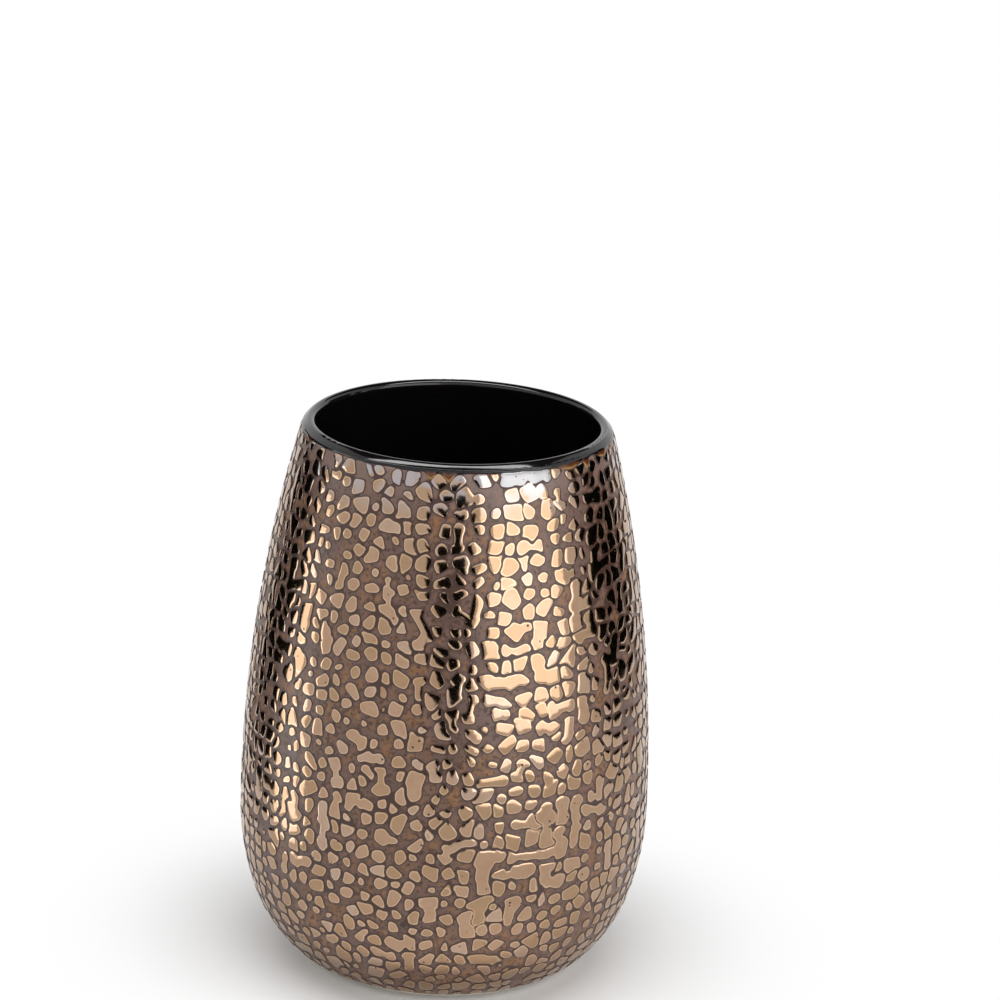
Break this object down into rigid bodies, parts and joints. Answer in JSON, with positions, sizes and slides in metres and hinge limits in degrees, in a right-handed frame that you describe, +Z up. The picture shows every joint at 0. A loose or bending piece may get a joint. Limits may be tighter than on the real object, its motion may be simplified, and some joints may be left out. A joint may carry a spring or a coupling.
{
  "type": "bathroom tumbler",
  "caption": "Egg-shaped ceramic bathroom tumbler with a black glazed inside, a pebbled bronze glaze outside and anti-slip pads under its base.",
  "frame": {"origin": "centre of the base, on the surface that the pads stand on", "axes": "+Z up along the cup's axis, towards the mouth"},
  "size_m": [0.085, 0.085, 0.115],
  "materials": {
    "bare_stoneware": "unglazed",
    "black_glaze": "gloss",
    "matt_brown_glaze": "matt",
    "bronze_lustre": "metallic gloss",
    "pad_rubber": "matt"
  },
  "bodies": {
    "root": {"ceramic_body": "bare_stoneware", "lining_glaze": "black_glaze", "ground_glaze": "matt_brown_glaze", "bronze_glaze": "bronze_lustre", "base_glaze": "black_glaze", "foot_pad_1": "pad_rubber", "foot_pad_2": "pad_rubber", "foot_pad_3": "pad_rubber", "foot_pad_4": "pad_rubber"}
  },
  "joints": []
}
